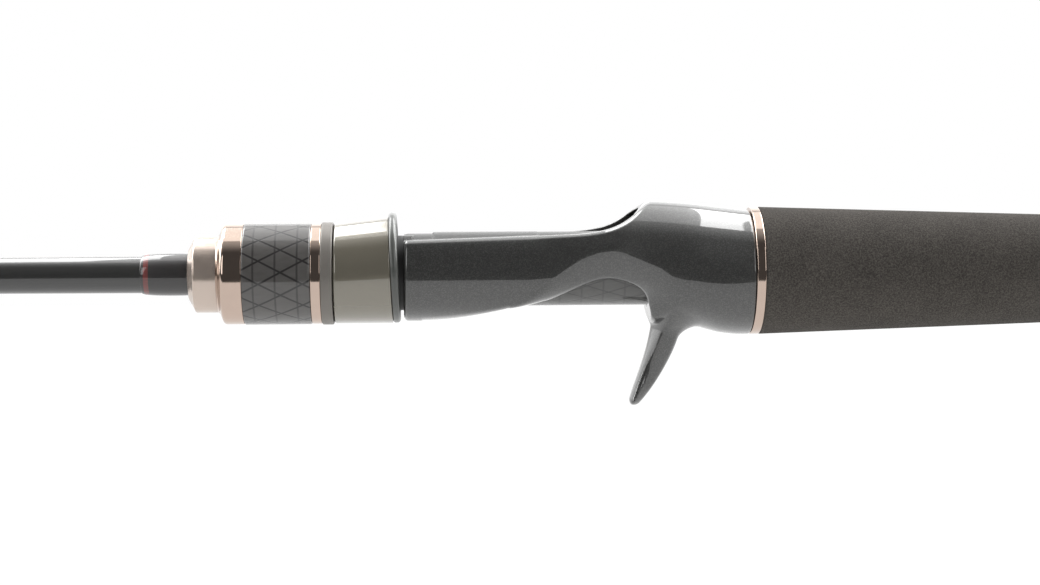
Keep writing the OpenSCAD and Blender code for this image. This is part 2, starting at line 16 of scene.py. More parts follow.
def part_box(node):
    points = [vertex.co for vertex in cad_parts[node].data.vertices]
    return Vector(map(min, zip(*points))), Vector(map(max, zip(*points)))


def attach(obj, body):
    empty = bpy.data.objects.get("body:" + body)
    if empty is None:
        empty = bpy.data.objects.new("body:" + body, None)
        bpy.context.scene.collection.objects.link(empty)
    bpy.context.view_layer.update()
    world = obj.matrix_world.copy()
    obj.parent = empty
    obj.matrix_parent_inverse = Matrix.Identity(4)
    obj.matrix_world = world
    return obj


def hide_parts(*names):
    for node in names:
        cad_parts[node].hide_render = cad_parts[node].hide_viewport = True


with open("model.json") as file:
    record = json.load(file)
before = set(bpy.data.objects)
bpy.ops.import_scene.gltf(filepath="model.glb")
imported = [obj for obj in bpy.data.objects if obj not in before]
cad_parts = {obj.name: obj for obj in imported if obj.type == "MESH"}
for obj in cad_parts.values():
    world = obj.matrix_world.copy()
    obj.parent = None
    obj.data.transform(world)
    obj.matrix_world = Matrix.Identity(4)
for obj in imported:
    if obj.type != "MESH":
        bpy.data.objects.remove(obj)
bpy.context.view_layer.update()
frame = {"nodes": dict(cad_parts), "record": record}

MM = 0.001
TAU = 2 * math.pi
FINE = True
BOND = 0.04  # the radial gap of a glued joint


@lru_cache(maxsize=None)
def box(node):
    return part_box(node)


def middle(node, axis):
    lo, hi = box(node)
    return (lo[axis] + hi[axis]) / 2


AXIS_Z = middle("butt_blank", 2)


def ends(node):
    """Where a node starts and ends along the rod."""
    lo, hi = box(node)
    return lo.x / MM, hi.x / MM


def radius(node):
    """A turned node's outer radius."""
    lo, hi = box(node)
    return (hi.y - lo.y) / 2 / MM


# ---- Camera, light and floor ----


def make_camera():
    """A long lens square on to the reel seat, from a little above it."""
    eye = Vector((-13.4, -457.0, 27.0))
    target = Vector((4.2, 0.0, -4.3))
    roll = math.radians(-0.28)
    data = bpy.data.cameras.new("camera")
    data.lens = 75.7
    data.sensor_width = 36
    data.clip_start = 0.01
    data.clip_end = 100
    camera = bpy.data.objects.new("camera", data)
    bpy.context.scene.collection.objects.link(camera)
    camera.location = eye * MM + Vector((0, 0, AXIS_Z))
    camera.rotation_mode = "QUATERNION"
    look = (target - eye).to_track_quat("-Z", "Y")
    camera.rotation_quaternion = look @ Quaternion((0, 0, 1), roll)
    bpy.context.scene.camera = camera


class Nodes:
    """Adds nodes to a tree: inputs are values, or sockets to link from."""

    def __init__(self, tree):
        self.tree = tree

    def add(self, kind, inputs=None, **settings):
        node = self.tree.nodes.new(kind)
        for name, value in settings.items():
            setattr(node, name, value)
        for name, value in (inputs or {}).items():
            socket = node.inputs[name]
            if isinstance(value, bpy.types.NodeSocket):
                self.tree.links.new(value, socket)
            else:
                socket.default_value = value
        return node

    def math(self, operation, *values, clamp=False):
        node = self.add("ShaderNodeMath", dict(enumerate(values)), operation=operation, use_clamp=clamp)
        return node.outputs[0]

    def ramp(self, value, start, end, low=0.0, high=1.0):
        """value from start to end as low to high, with smooth ends."""
        node = self.add("ShaderNodeMapRange", interpolation_type="SMOOTHSTEP")
        for name, given in zip(("Value", "From Min", "From Max", "To Min", "To Max"),
                               (value, start, end, low, high), strict=True):
            if isinstance(given, bpy.types.NodeSocket):
                self.tree.links.new(given, node.inputs[name])
            else:
                node.inputs[name].default_value = given
        return node.outputs[0]

    def band(self, value, start, end, edge):
        """1 between two angles in degrees, with soft edges."""
        start, end, edge = (math.radians(v) for v in (start, end, edge))
        return self.math("MULTIPLY", self.ramp(value, start - edge / 2, start + edge / 2),
                         self.ramp(value, end + edge / 2, end - edge / 2))

    def brighter(self, level, mask, strength=1.0):
        """level, or a light of this strength where the mask has it and it is the brighter one."""
        return self.math("MAXIMUM", level, self.math("MULTIPLY", mask, strength))

    def mix(self, factor, a, b):
        """A colour between two colours."""
        node = self.add("ShaderNodeMix", data_type="RGBA")
        for index, value in ((0, factor), (6, a), (7, b)):
            if isinstance(value, bpy.types.NodeSocket):
                self.tree.links.new(value, node.inputs[index])
            else:
                node.inputs[index].default_value = value
        return node.outputs[2]


FLOOR_DROP = 300.0  # how far the floor lies below the rod's axis
FLOOR_EDGE_ANGLE = math.radians(15.5)  # how far below level the floor's front edge is, seen from the rod
LAMP_HEIGHT = 500.0
LAMP_DEPTH = (0.0, 450.0)
LAMP_LEVEL = 2.2

# what reflections of the world see, in units of white
ROOM = 0.085
CEILING = 0.65
SIDE_STRIP = 3.0
OVERHEAD = 9.0
OVERHEAD_GAP = 1.8
REAR_STRIP = 1.8
AMBIENT = 0.85  # what matt surfaces see all round


def make_world():
    """White to the camera. Reflections see a dim room in front, white walls behind, and softboxes."""
    world = bpy.data.worlds.new("studio")
    bpy.context.scene.world = world
    world.use_nodes = True
    tree = world.node_tree
    tree.nodes.clear()
    n = Nodes(tree)
    ray = n.add("ShaderNodeTexCoord").outputs["Generated"]
    parts = n.add("ShaderNodeSeparateXYZ", {0: ray})
    across, back, up = (parts.outputs[name] for name in "XYZ")
    ahead = n.math("MULTIPLY", back, -1.0)
    # 0 level in front, a quarter turn overhead, half a turn level behind
    over = n.math("ARCTAN2", up, ahead)
    below_edge = n.math("LESS_THAN", over, -FLOOR_EDGE_ANGLE)
    ceiling = n.ramp(over, math.radians(52), math.radians(86), ROOM, CEILING)
    seen = n.math("MAXIMUM", ceiling, below_edge)
    # the walls behind are white, and a tall softbox stands to either side of the camera
    aside = n.math("ABSOLUTE", n.math("ARCTAN2", across, ahead))
    walls = n.ramp(aside, math.radians(106), math.radians(120))
    strip = n.math("MULTIPLY", n.band(aside, 27, 45, 2), n.band(over, 4, 48, 2))
    seen = n.brighter(seen, walls)
    seen = n.brighter(seen, strip, SIDE_STRIP)
    # two softboxes overhead with a dimmer gap between them, and a long one behind
    overhead = n.band(over, 84, 135, 1)
    lean = n.math("DIVIDE", across, n.math("MAXIMUM", up, 0.05))
    left = n.math("MULTIPLY", n.ramp(lean, -0.155, -0.17), n.band(over, 96, 135, 1))
    right = n.math("MULTIPLY", n.ramp(lean, 0.27, 0.28), overhead)
    seen = n.brighter(seen, overhead, OVERHEAD_GAP)
    seen = n.brighter(seen, n.math("MAXIMUM", left, right), OVERHEAD)
    seen = n.brighter(seen, n.band(over, 142, 174, 3), REAR_STRIP)
    light = n.add("ShaderNodeLightPath")
    change = n.math("SUBTRACT", AMBIENT, seen)
    level = n.math("MULTIPLY_ADD", light.outputs["Is Diffuse Ray"], change, seen)
    level = n.math("MAXIMUM", level, light.outputs["Is Camera Ray"])
    shade = n.add("ShaderNodeBackground", {"Color": (1, 1, 1, 1), "Strength": level})
    out = n.add("ShaderNodeOutputWorld")
    tree.links.new(shade.outputs[0], out.inputs["Surface"])


def make_lamp(name, x, y, level):
    """A softbox above the rod, over ranges of x and y, with its luminance in units of white."""
    data = bpy.data.lights.new(name, "AREA")
    data.shape = "RECTANGLE"
    data.size = (x[1] - x[0]) * MM
    data.size_y = (y[1] - y[0]) * MM
    data.energy = level * math.pi * data.size * data.size_y
    lamp = bpy.data.objects.new(name, data)
    bpy.context.scene.collection.objects.link(lamp)
    lamp.location = (sum(x) / 2 * MM, sum(y) / 2 * MM, LAMP_HEIGHT * MM + AXIS_Z)
    lamp.visible_camera = False
    lamp.visible_glossy = False


def make_floor():
    """A pale floor well below the rod. Its front edge is where reflections of it end."""
    front = -FLOOR_DROP / math.tan(FLOOR_EDGE_ANGLE)
    corners = [(-3000, front), (3000, front), (3000, 4000), (-3000, 4000)]
    mesh = bpy.data.meshes.new("floor")
    mesh.from_pydata([(x * MM, y * MM, AXIS_Z - FLOOR_DROP * MM) for x, y in corners], [], [(0, 1, 2, 3)])
    floor = bpy.data.objects.new("floor", mesh)
    bpy.context.scene.collection.objects.link(floor)
    mat = bpy.data.materials.new("floor_white")
    mat.use_nodes = True
    n = Nodes(mat.node_tree)
    mat.node_tree.nodes.clear()
    light = n.add("ShaderNodeLightPath")
    grain = n.add("ShaderNodeTexNoise", {"Scale": 40.0, "Detail": 4.0})
    white = n.mix(grain.outputs["Fac"], (0.82, 0.82, 0.81, 1), (0.86, 0.86, 0.85, 1))
    matte = n.add("ShaderNodeBsdfDiffuse", {"Color": white})
    shown = n.math("MAXIMUM", light.outputs["Is Camera Ray"], light.outputs["Is Glossy Ray"])
    shown = n.math("MAXIMUM", shown, light.outputs["Is Transmission Ray"])
    glow = n.add("ShaderNodeEmission", {"Color": (1, 1, 1, 1), "Strength": 1.0})
    both = n.add("ShaderNodeMixShader", {0: n.math("MULTIPLY", shown, 0.9)})
    out = n.add("ShaderNodeOutputMaterial")
    mat.node_tree.links.new(matte.outputs[0], both.inputs[1])
    mat.node_tree.links.new(glow.outputs[0], both.inputs[2])
    mat.node_tree.links.new(both.outputs[0], out.inputs["Surface"])
    mesh.materials.append(mat)


# ---- Materials ----


def start_material(name, color, **values):
    """A material with one Principled shader: constants on its sockets, and a Nodes for the rest."""
    mat = bpy.data.materials.new(name)
    mat.use_nodes = True
    shader = mat.node_tree.nodes["Principled BSDF"]
    shader.inputs["Base Color"].default_value = (*color, 1)
    for socket, value in values.items():
        shader.inputs[socket.replace("_", " ")].default_value = value
    return mat, Nodes(mat.node_tree), shader


def rod_place(n):
    """Millimetres along, across and above the rod's axis, and the angle round it."""
    raw = n.add("ShaderNodeTexCoord").outputs["Object"]
    parts = n.add("ShaderNodeSeparateXYZ", {0: raw})
    x = n.math("MULTIPLY", parts.outputs[0], 1 / MM)
    y = n.math("MULTIPLY", parts.outputs[1], 1 / MM)
    z = n.math("MULTIPLY", n.math("SUBTRACT", parts.outputs[2], AXIS_Z), 1 / MM)
    return x, y, z, n.math("ARCTAN2", z, y)


def noise(n, per_mm, detail=3.0, stretch=(1, 1, 1), rough=0.5):
    """Soft noise with per_mm blotches to a millimetre."""
    raw = n.add("ShaderNodeTexCoord").outputs["Object"]
    at = n.add("ShaderNodeMapping", {"Vector": raw, "Scale": tuple(per_mm / MM * s for s in stretch)})
    node = n.add("ShaderNodeTexNoise",
                 {"Vector": at.outputs[0], "Scale": 1.0, "Detail": detail, "Roughness": rough})
    return node.outputs["Fac"]


def link(n, output, shader, socket):
    n.tree.links.new(output, shader.inputs[socket])


def bump(n, shader, height, depth_mm, strength=1.0, socket="Normal"):
    node = n.add("ShaderNodeBump", {"Height": height, "Strength": strength, "Distance": depth_mm * MM})
    link(n, node.outputs["Normal"], shader, socket)


def between(n, shader, factor, a, b):
    """Colours the shader from a to b, each three numbers."""
    link(n, n.mix(factor, (*a, 1), (*b, 1)), shader, "Base Color")


def carbon_blank():
    """Black carbon under a deep clear coat, with faint long fibres."""
    mat, n, shader = start_material("carbon_blank", (0.028, 0.027, 0.026), Roughness=0.42,
                                    Coat_Weight=1.0, Coat_Roughness=0.02, Coat_IOR=1.6)
    fibres = noise(n, 3.0, 4.0, (0.02, 1, 1))
    between(n, shader, fibres, (0.004, 0.004, 0.004), (0.014, 0.014, 0.013))
    return mat


def thread(name, dark, light):
    """Fine turns of thread side by side under lacquer."""
    pitch = 0.16
    mat, n, shader = start_material(name, light, Roughness=0.5,
                                    Coat_Weight=1.0, Coat_Roughness=0.02, Coat_IOR=1.55)
    x, _, _, angle = rod_place(n)
    turn = n.math("FRACT", n.math("MULTIPLY_ADD", x, 1 / pitch, n.math("MULTIPLY", angle, 1 / TAU)))
    valley = n.math("ABSOLUTE", n.math("SUBTRACT", turn, 0.5))
    tone = n.math("MULTIPLY_ADD", noise(n, 1.5), 0.5, valley, clamp=True)
    between(n, shader, tone, light, dark)
    return mat


def carbon_weave(name, ground, dark):
    """Triaxial braid: two crossing spirals and hoops, as dark sunken lines under a glossy coat."""
    spirals = 14
    row = 4.5  # from one hoop to the next
    line = 0.17  # about half the width of a line
    start = sum(ends("nut_sleeve")) / 2 - row + 1.0
    turned_by = 0.18  # the spirals' place round the rod, in repeats
    hoop_shift = 0.75  # the hoops' place along it, in rows
    hoop_strength = 0.7
    mat, n, shader = start_material(name, ground[0], Roughness=0.5, Specular_IOR_Level=0.2,
                                    Coat_Weight=1.0, Coat_Roughness=0.05, Coat_IOR=1.57)
    x, _, _, angle = rod_place(n)
    along = n.math("DIVIDE", n.math("SUBTRACT", x, start), row)
    round_it = n.math("MULTIPLY_ADD", angle, spirals / TAU, turned_by)
    half = n.math("MULTIPLY", along, 0.5)
    lines = []
    # how far each pattern has come, and about how much of a repeat it gains in a millimetre
    for phase, gradient in (
        (n.math("ADD", round_it, half), 0.23),
        (n.math("SUBTRACT", round_it, half), 0.23),
        (n.math("ADD", along, hoop_shift), 1 / row),
    ):
        off = n.math("ABSOLUTE", n.math("SUBTRACT", n.math("FRACT", phase), 0.5))
        lines.append(n.ramp(off, line * gradient * 0.6, line * gradient * 1.7, 1.0, 0.0))
    mask = n.brighter(n.math("MAXIMUM", lines[0], lines[1]), lines[2], hoop_strength)
    cloth = noise(n, 1.2, 4.0, (0.35, 1, 1))
    cloth_color = n.mix(cloth, (*ground[0], 1), (*ground[1], 1))
    link(n, n.mix(mask, cloth_color, (*dark, 1)), shader, "Base Color")
    height = n.math("MULTIPLY_ADD", mask, -1.0, n.math("MULTIPLY", cloth, 0.6))
    bump(n, shader, height, 0.06, 0.6)
    bump(n, shader, height, 0.03, 0.2, "Coat Normal")
    return mat


def metal(name, color, rough, grooves, metallic=1.0):
    """Turned metal: fine grooves round the axis and a faint cloudiness."""
    mat, n, shader = start_material(name, color, Metallic=metallic, Roughness=rough)
    x = rod_place(n)[0]
    turning = n.add("ShaderNodeTexNoise", {"W": n.math("MULTIPLY", x, 5.0), "Scale": 1.0, "Detail": 2.0},
                    noise_dimensions="1D")
    clouds = noise(n, 0.5)
    link(n, n.ramp(clouds, 0.3, 0.7, rough * 0.85, rough * 1.2), shader, "Roughness")
    between(n, shader, clouds, [c * 0.95 for c in color], [c * 1.04 for c in color])
    bump(n, shader, turning.outputs["Fac"], 0.03 * grooves)
    return mat


def gunmetal():
    """Warm grey metallic finish under a bright clear coat."""
    mat, n, shader = start_material("gunmetal", (0.14, 0.13, 0.108), Metallic=0.5, Roughness=0.26,
                                    Coat_Weight=1.0, Coat_Roughness=0.02, Coat_IOR=1.75)
    between(n, shader, noise(n, 6.0), (0.128, 0.116, 0.090), (0.158, 0.144, 0.112))
    return mat


def satin(name, color, rough, metallic=0.0, coat=0.0):
    """A plain moulded or painted finish with a fine grain."""
    mat, n, shader = start_material(name, color, Roughness=rough, Metallic=metallic,
                                    Coat_Weight=coat, Coat_Roughness=0.1)
    grain = noise(n, 9.0)
    between(n, shader, grain, [c * 0.88 for c in color], [c * 1.1 for c in color])
    link(n, n.ramp(grain, 0.3, 0.7, rough * 0.9, rough * 1.1), shader, "Roughness")
    bump(n, shader, grain, 0.01, 0.3)
    return mat


def seat_grey():
    """Dark grey with fine metallic flake under a deep clear coat, and a dull reel bed."""
    mat, n, shader = start_material("seat_grey", (0.07, 0.07, 0.067), Roughness=0.34, Metallic=0.5,
                                    Coat_Roughness=0.015, Coat_IOR=1.66)
    flake = 0.15
    raw = n.add("ShaderNodeTexCoord").outputs["Object"]
    flakes = n.add("ShaderNodeTexVoronoi", {"Vector": raw, "Scale": 1 / (flake * MM)})
    glint = n.add("ShaderNodeSeparateXYZ", {0: flakes.outputs["Color"]}).outputs[0]
    between(n, shader, n.ramp(glint, 0.45, 1.0), (0.029, 0.029, 0.028), (0.058, 0.058, 0.056))
    link(n, n.ramp(glint, 0.0, 1.0, 0.40, 0.34), shader, "Roughness")
    _, y, z, _ = rod_place(n)
    within = n.ramp(n.math("ABSOLUTE", y), BED_HALF - 0.02, BED_HALF - 0.1)
    at_crown = n.math("MULTIPLY", n.ramp(z, 7.0, 7.1), n.ramp(z, 9.2, 9.1))
    bed = n.math("MULTIPLY", within, at_crown)
    link(n, n.math("MULTIPLY_ADD", bed, -0.9, 1.0), shader, "Coat Weight")
    return mat


def eva():
    """Closed-cell foam, sanded: a fine dry grain with paler specks."""
    mat, n, shader = start_material("eva", (0.055, 0.050, 0.045), Roughness=0.92, Specular_IOR_Level=0.15)
    grain = noise(n, 3.2, 5.0, rough=0.75)
    specks = n.math("MULTIPLY", n.ramp(grain, 0.36, 0.66), 0.75)
    tone = n.math("MULTIPLY_ADD", noise(n, 0.12), 0.35, specks, clamp=True)
    between(n, shader, tone, (0.018, 0.0165, 0.015), (0.074, 0.067, 0.060))
    bump(n, shader, grain, 0.18, 0.8)
    return mat


def rubber():
    """Matt black rubber."""
    mat, n, shader = start_material("butt_rubber", (0.02, 0.02, 0.02), Roughness=0.7)
    grain = noise(n, 5.0, 4.0)
    between(n, shader, grain, (0.014, 0.014, 0.014), (0.028, 0.028, 0.028))
    bump(n, shader, grain, 0.03, 0.5)
    return mat


def ceramic():
    """Polished dark ceramic."""
    mat, n, shader = start_material("ceramic", (0.012, 0.012, 0.014), Roughness=0.08, Specular_IOR_Level=0.7)
    clouds = noise(n, 2.0, 2.0)
    link(n, n.ramp(clouds, 0.2, 0.8, 0.05, 0.12), shader, "Roughness")
    return mat


ROSE = (0.53, 0.42, 0.355)


def make_materials():
    return {
        "carbon_blank": carbon_blank(),
        "thread": thread("thread", (0.004, 0.003, 0.003), (0.013, 0.010, 0.010)),
        "trim_thread": thread("trim_thread", (0.05, 0.004, 0.003), (0.15, 0.011, 0.008)),
        "carbon_weave": carbon_weave("carbon_weave", ((0.040, 0.037, 0.035), (0.063, 0.060, 0.057)),
                                     (0.008, 0.007, 0.007)),
        "carbon_tube": carbon_weave("carbon_tube", ((0.040, 0.040, 0.038), (0.056, 0.055, 0.053)),
                                    (0.026, 0.026, 0.025)),
        "rose_metal": metal("rose_metal", ROSE, 0.09, 0.15),
        "rose_satin": metal("rose_satin", (0.515, 0.435, 0.38), 0.2, 0.1, 0.8),
        "taupe_matte": satin("taupe_matte", (0.135, 0.125, 0.113), 0.42, 0.3),
        "gunmetal": gunmetal(),
        "rim_grey": satin("rim_grey", (0.052, 0.055, 0.051), 0.4, 0.2, 0.6),
        "seat_grey": seat_grey(),
        "nylon_black": satin("nylon_black", (0.022, 0.022, 0.022), 0.5),
        "arbor_foam": satin("arbor_foam", (0.17, 0.17, 0.15), 0.8),
        "eva": eva(),
        "butt_rubber": rubber(),
        "guide_metal": metal("guide_metal", (0.19, 0.19, 0.2), 0.22, 0.3),
        "ceramic": ceramic(),
    }


# ---- Mesh tools ----

SHARP = math.radians(32)  # a turned piece's edges bent by more than this stay sharp


def build(name, points, faces, body, slot, nodes, normals=None, look=None):
    """A piece from points in millimetres about the rod's axis, on a body, in the stead of CAD nodes."""
    points = np.asarray(points, float) * MM
    points[:, 2] += AXIS_Z
    mesh = bpy.data.meshes.new(name)
    mesh.from_pydata(points.tolist(), [], faces if isinstance(faces, list) else faces.tolist())
    mesh.shade_smooth()
    if normals is None:
        mesh.set_sharp_from_angle(angle=SHARP)
    else:
        mesh.normals_split_custom_set_from_vertices(normals.tolist())
    mesh.materials.append(materials[look or slot])
    piece = bpy.data.objects.new(name, mesh)
    bpy.context.scene.collection.objects.link(piece)
    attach(piece, body)
    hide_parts(*nodes)


STRAIGHT = 3.1  # a corner as open as this, in radians, needs no arc
ALMOST_NONE = 1e-4
SUPPORT = 0.12  # how far from an arc a support point keeps the shading flat


def rounded(corners, steps=5):
    """A closed outline of (x, r, round) corners, each with an arc and a support point at either side."""
    out = []
    for (x0, r0, *_), (x, r, *soft), (x1, r1, *_) in zip(
        corners[-1:] + corners[:-1], corners, corners[1:] + corners[:1], strict=True
    ):
        here = np.array((x, r), float)
        back, ahead = np.array((x0, r0)) - here, np.array((x1, r1)) - here
        back_length, ahead_length = np.linalg.norm(back), np.linalg.norm(ahead)
        back, ahead = back / back_length, ahead / ahead_length
        bend = math.acos(max(-1.0, min(1.0, float(back @ ahead))))
        size = soft[0] if soft else 0.0
        cut = size / math.tan(bend / 2) if size and bend < STRAIGHT else 0.0
        cut = min(cut, 0.48 * back_length, 0.48 * ahead_length)
        if cut < ALMOST_NONE:
            out.append(here)
            continue
        size = cut * math.tan(bend / 2)
        centre = here + (back + ahead) / np.linalg.norm(back + ahead) * size / math.sin(bend / 2)
        first, last = here + back * cut - centre, here + ahead * cut - centre
        spread = math.pi - bend
        ease = min(SUPPORT, cut * 0.5)
        if back_length > 2.2 * cut + ease:
            out.append(here + back * (cut + ease))
        for i in range(steps + 1):
            share = i / steps
            arm = math.sin((1 - share) * spread) * first + math.sin(share * spread) * last
            out.append(centre + arm / math.sin(spread))
        if ahead_length > 2.2 * cut + ease:
            out.append(here + ahead * (cut + ease))
    return out


def lathe(name, corners, body, slot, nodes, turns=144, centre_z=0.0, steps=5, bulge=None, look=None):
    """A piece turned about the rod's axis, or one parallel to it, from an outline of corners.

    bulge adds to the radius by place and angle, and look is a material other than the slot's own.
    """
    outline = rounded(corners, steps)
    angles = np.arange(turns) * TAU / turns
    points, rings = [], []
    for x, r in outline:
        if r < 1e-6:
            rings.append([len(points)])
            points.append((x, 0.0, centre_z))
            continue
        rings.append(list(range(len(points), len(points) + turns)))
        for a in angles:
            here = r + (bulge(x, r, a) if bulge else 0.0)
            points.append((x, here * math.cos(a), centre_z + here * math.sin(a)))
    faces = []
    for first, second in zip(rings, rings[1:] + rings[:1], strict=True):
        if len(first) == 1 and len(second) == 1:
            continue
        for i in range(turns):
            j = (i + 1) % turns
            if len(first) == 1:
                faces.append((first[0], second[j], second[i]))
            elif len(second) == 1:
                faces.append((first[i], first[j], second[0]))
            else:
                faces.append((first[i], first[j], second[j], second[i]))
    build(name, points, faces, body, slot, nodes, look=look)


def bezier(a, b, c, d, count=14):
    """Points of a cubic curve."""
    a, b, c, d = (np.array(p, float) for p in (a, b, c, d))
    return [
        (1 - t) ** 3 * a + 3 * (1 - t) ** 2 * t * b + 3 * (1 - t) * t * t * c + t**3 * d
        for t in np.linspace(0, 1, count + 1)
    ]


def inside_distance(outline, x, z):
    """Signed distance to a closed outline in the plane, positive inside it, and the nearest edge's z."""
    points = np.array(outline, float)
    nearest = np.full(x.shape, 1e9)
    nearest_z = np.zeros(x.shape)
    inside = np.zeros(x.shape, bool)
    for (ax, az), (bx, bz) in zip(points, np.roll(points, -1, 0), strict=True):
        ex, ez = bx - ax, bz - az
        size = ex * ex + ez * ez
        if size < 1e-12:
            continue
        wx, wz = x - ax, z - az
        share = np.clip((wx * ex + wz * ez) / size, 0, 1)
        gap = (wx - share * ex) ** 2 + (wz - share * ez) ** 2
        nearest_z = np.where(gap < nearest, az + share * ez, nearest_z)
        nearest = np.minimum(nearest, gap)
        if abs(ez) > 1e-12:
            crosses = (az > z) != (bz > z)
            inside ^= crosses & (wx < ex * (z - az) / ez)
    return np.where(inside, 1.0, -1.0) * np.sqrt(nearest), nearest_z


def meet(a, b, r):
    """The overlap of two fields, negative inside, with a convex edge rounded by r."""
    r = np.maximum(r, 1e-6)
    return np.minimum(-r, np.maximum(a, b)) + np.hypot(np.maximum(r + a, 0), np.maximum(r + b, 0))


def join(a, b, r):
    """The union of two fields, with a concave corner filled by r."""
    r = np.maximum(r, 1e-6)
    return np.maximum(r, np.minimum(a, b)) - np.hypot(np.maximum(r - a, 0), np.maximum(r - b, 0))


def steps_between(x, start, end):
    """0 up to start and 1 from end, with a smooth ramp between them."""
    share = np.clip((x - start) / (end - start), 0, 1)
    return share * share * (3 - 2 * share)


def through(stations, values, x):
    """A smooth curve through values at stations."""
    s, v = np.array(stations, float), np.array(values, float)
    slope = np.gradient(v, s)
    chord = np.diff(v) / np.diff(s)
    before, after = chord[:-1], chord[1:]
    slope[1:-1] = np.where(after * before <= 0, 0, 2 * after * before / (after + before + 1e-12))
    i = np.clip(np.searchsorted(s, x) - 1, 0, len(s) - 2)
    gap = s[i + 1] - s[i]
    t = np.clip((x - s[i]) / gap, 0, 1)
    return (
        (1 + 2 * t) * (1 - t) ** 2 * v[i] + t * (1 - t) ** 2 * gap * slope[i]
        + t * t * (3 - 2 * t) * v[i + 1] + t * t * (t - 1) * gap * slope[i + 1]
    )


def gradient(field, p, reach):
    """The field's slope at each point, by differences over reach to either side."""
    out = np.empty_like(p)
    for axis in range(3):
        step = np.zeros(3)
        step[axis] = reach
        out[:, axis] = (field(*(p + step).T) - field(*(p - step).T)) / (2 * reach)
    return out


def skin(field, lo, hi, step):
    """Quads over the surface where field is 0, by surface nets, evened out and pulled on to it."""
    grid = [np.arange(a - step, b + 2 * step, step) for a, b in zip(lo, hi, strict=True)]
    f = field(*np.meshgrid(*grid, indexing="ij"))
    inside = f < 0
    cells = tuple(n - 1 for n in f.shape)
    total = np.zeros((*cells, 3))
    count = np.zeros(cells)
    faces = []

    def part(array, offset):
        return array[tuple(slice(o, o + c) for o, c in zip(offset, cells, strict=True))]

    for axis in range(3):
        others = [i for i in range(3) if i != axis]
        for a in (0, 1):
            for b in (0, 1):
                start = [0, 0, 0]
                start[others[0]], start[others[1]] = a, b
                end = list(start)
                end[axis] = 1
                f0, f1 = part(f, start), part(f, end)
                cross = part(inside, start) != part(inside, end)
                share = np.where(cross, f0 / np.where(cross, f0 - f1, 1), 0)
                total[..., axis] += share
                total[..., others[0]] += cross * a
                total[..., others[1]] += cross * b
                count += cross
    used = count > 0
    number = np.full(cells, -1)
    number[used] = np.arange(used.sum())
    origin = np.array([g[0] for g in grid])
    p = origin + (np.argwhere(used) + total[used] / count[used][:, None]) * step
    for axis in range(3):
        u, v = (axis + 1) % 3, (axis + 2) % 3
        ahead = [slice(None)] * 3
        here = [slice(None)] * 3
        here[axis], ahead[axis] = slice(0, -1), slice(1, None)
        change = inside[tuple(here)] != inside[tuple(ahead)]
        at = np.argwhere(change)
        at = at[(at[:, u] > 0) & (at[:, v] > 0) & (at[:, u] < cells[u]) & (at[:, v] < cells[v])]
        corners = []
        for du, dv in ((1, 1), (0, 1), (0, 0), (1, 0)):
            cell = at.copy()
            cell[:, u] -= du
            cell[:, v] -= dv
            corners.append(number[tuple(cell.T)])
        quad = np.stack(corners, 1)
        outward = inside[tuple(at.T)]
        quad[~outward] = quad[~outward][:, ::-1]
        faces.append(quad)
    faces = np.concatenate(faces)
    pairs = np.concatenate([faces[:, [i, (i + 1) % 4]] for i in range(4)])
    degree = np.bincount(pairs.ravel(), minlength=len(p))[:, None]
    # draw each corner halfway towards its neighbours, then back on to the surface
    for _ in range(4):
        around = np.zeros_like(p)
        for axis in range(3):
            around[:, axis] = np.bincount(pairs[:, 0], p[pairs[:, 1], axis], len(p))
            around[:, axis] += np.bincount(pairs[:, 1], p[pairs[:, 0], axis], len(p))
        p += 0.5 * (around / degree - p)
        for _ in range(2):
            slope = gradient(field, p, step * 0.2)
            move = field(*p.T)[:, None] * slope / np.maximum((slope**2).sum(1), 0.05)[:, None]
            p -= np.clip(move, -step, step)
    normals = gradient(field, p, step * 0.35)
    return p, faces, normals / np.linalg.norm(normals, axis=1)[:, None]


# ---- Reel seat ----

seat_front, seat_rear = ends("seat_body")
tube_r = radius("seat_tube")
bore_r = tube_r + BOND
BED_HEIGHT = -AXIS_Z / MM
BED_RADIUS = 12.0
BED_HALF = 6.4
BED_STEP_X = -13.9
BED_STEP = 0.3
POCKET_FRONT = 8.0
POCKET_HEIGHT = 4.6
POCKET_END = 42.0
POCKET_ROOF_R = 14.0
PEAK_X = 31.0
PEAK_Z = 14.8
EDGE = 0.5
FRONT_EDGE = 0.9
RIM_EDGE = 0.75
SLIT = 0.25  # the rounding where the pocket and the bore come out
NECK_LENGTH = 0.6
NECK_R = 9.3
NECK_TOP = 7.9
TRIGGER_TIP = -28.25
TRIGGER_LINE = (28.6, -28.0)  # a point on the line down the blade, at its tip
TRIGGER_LEAN = 0.36  # how far that line comes back for a millimetre up
TRIGGER_HOLLOW = 0.5
TRIGGER_HALF = 3.8
TRIGGER_FLARE = 2.4

